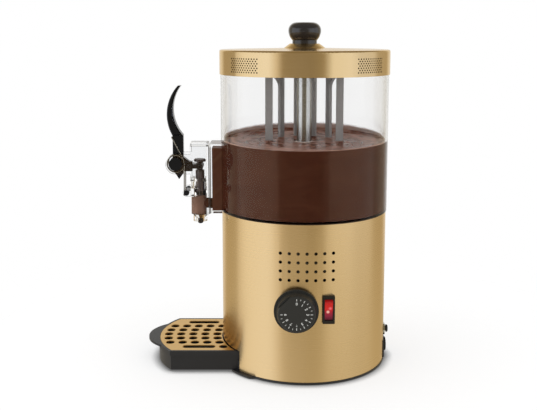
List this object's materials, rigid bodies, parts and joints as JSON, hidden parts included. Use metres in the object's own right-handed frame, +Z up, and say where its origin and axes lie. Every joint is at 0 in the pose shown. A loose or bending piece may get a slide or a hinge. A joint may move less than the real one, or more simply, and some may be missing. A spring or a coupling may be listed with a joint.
{
  "type": "hot chocolate dispenser",
  "caption": "Upright gold drum with a clear stirred bowl of hot chocolate, a lever tap at the front over a slotted drip tray, a heat dial, a lit rocker switch and a lift-off lid.",
  "frame": {"origin": "on the drum's axis, in the plane that the foot ring stands on", "axes": "+Z up along the drum, -Y to the tap and drip tray, +X to the dial and switch"},
  "size_m": [0.2195, 0.2993, 0.4132],
  "materials": {
    "gold_sheet": "satin gold lacquer on brushed steel sheet",
    "black_plastic": "moulded, fine texture",
    "black_rubber": "moulded rubber",
    "clear_plastic": "clear polycarbonate",
    "steel": "plain stainless steel",
    "polished_steel": "polished stainless steel",
    "copper_brass": "turned",
    "dark_metal": "painted motor can",
    "cast_metal": "die cast",
    "dark_plastic": "moulded acetal",
    "grey_plastic": "moulded, food grade",
    "red_lens": "clear red, lit from behind",
    "chocolate": "thick liquid"
  },
  "bodies": {
    "base": {"foot_ring": "black_rubber", "base_pan": "black_plastic", "body_shell": "gold_sheet", "rear_panel": "black_plastic", "cord_gland": "black_rubber", "safety_cutout": "steel", "cutout_nut": "polished_steel", "deck_ring": "dark_plastic", "water_tank": "steel", "tank_flange": "steel", "tank_floor": "steel", "heating_element": "steel", "heater_nuts": "copper_brass", "thermostat_body": "black_plastic", "thermostat_bulb": "copper_brass", "dial_bezel": "black_plastic", "switch_housing": "black_plastic", "motor_bracket": "steel", "gearbox": "cast_metal", "motor": "dark_metal", "motor_screws": "steel", "bracket_screws": "steel", "shaft_bushes": "copper_brass", "terminal_block": "black_plastic"},
    "drive_shaft": {"drive_shaft": "steel", "output_shaft": "steel", "shaft_coupling": "steel"},
    "bowl": {"bowl_wall": "clear_plastic", "floor_gasket": "black_rubber", "bowl_floor": "steel", "centre_column": "polished_steel", "hot_chocolate": "chocolate", "outlet_block": "clear_plastic", "tap_gasket": "black_rubber", "tap_body": "clear_plastic", "tap_cap": "clear_plastic", "tap_nozzle": "clear_plastic", "outlet_chocolate": "chocolate", "pivot_pin": "polished_steel", "spring_pin": "black_plastic", "return_spring": "polished_steel"},
    "stirrer": {"stirrer": "grey_plastic", "stirrer_cap": "black_plastic"},
    "lid": {"lid": "gold_sheet", "lid_ring": "steel", "lid_knob": "black_plastic", "lid_screw": "steel"},
    "tap_lever": {"tap_lever": "black_plastic"},
    "tap_plunger": {"tap_plunger": "dark_plastic", "plunger_seals": "black_rubber", "plunger_tip": "black_rubber"},
    "thermostat_knob": {"thermostat_knob": "black_plastic", "thermostat_spindle": "steel"},
    "switch_rocker": {"switch_rocker": "red_lens"},
    "reset_button": {"reset_button": "black_plastic"},
    "drip_tray": {"drip_tray": "black_plastic"},
    "drip_grid": {"drip_grid": "gold_sheet"}
  },
  "joints": [
    {"name": "drive_spin", "type": "hinge", "parent": "base", "child": "drive_shaft", "pos_m": [0, 0, 0.1], "axis": [0, 0, 1], "continuous": true},
    {"name": "bowl_lift", "type": "slide", "parent": "base", "child": "bowl", "axis": [0, 0, 1], "range_m": [0, 0.2]},
    {"name": "stirrer_spin", "type": "hinge", "parent": "bowl", "child": "stirrer", "pos_m": [0, 0, 0.36], "axis": [0, 0, 1], "continuous": true},
    {"name": "lid_lift", "type": "slide", "parent": "bowl", "child": "lid", "axis": [0, 0, 1], "range_m": [0, 0.12]},
    {"name": "tap_pull", "type": "hinge", "parent": "bowl", "child": "tap_lever", "pos_m": [0, -0.1557, 0.2437], "axis": [1, 0, 0], "range_deg": [0, 26], "deforming": ["return_spring"]},
    {"name": "plunger_lift", "type": "slide", "parent": "bowl", "child": "tap_plunger", "axis": [0, 0, 1], "range_m": [0, 0.0125], "stiffness_N_per_m": 40, "springref_m": -0.01},
    {"name": "heat_dial", "type": "hinge", "parent": "base", "child": "thermostat_knob", "pos_m": [0.1, -0.012, 0.09], "axis": [1, 0, 0], "range_deg": [0, 270]},
    {"name": "switch_rock", "type": "hinge", "parent": "base", "child": "switch_rocker", "pos_m": [0.0992, 0.025, 0.09], "axis": [0, -1, 0], "range_deg": [0, 24]},
    {"name": "reset_press", "type": "slide", "parent": "base", "child": "reset_button", "axis": [0, -1, 0], "range_m": [0, 0.0015], "stiffness_N_per_m": 400, "springref_m": -0.003},
    {"name": "tray_slide", "type": "slide", "parent": "base", "child": "drip_tray", "axis": [0, -1, 0], "range_m": [0, 0.13]},
    {"name": "grid_lift", "type": "slide", "parent": "drip_tray", "child": "drip_grid", "axis": [0, 0, 1], "range_m": [0, 0.06]}
  ],
  "couplings": [
    {"joint": "stirrer_spin", "follows": "drive_spin", "ratio": 1},
    {"joint": "tap_pull", "follows": "plunger_lift", "rad_per_m": 34.843}
  ]
}
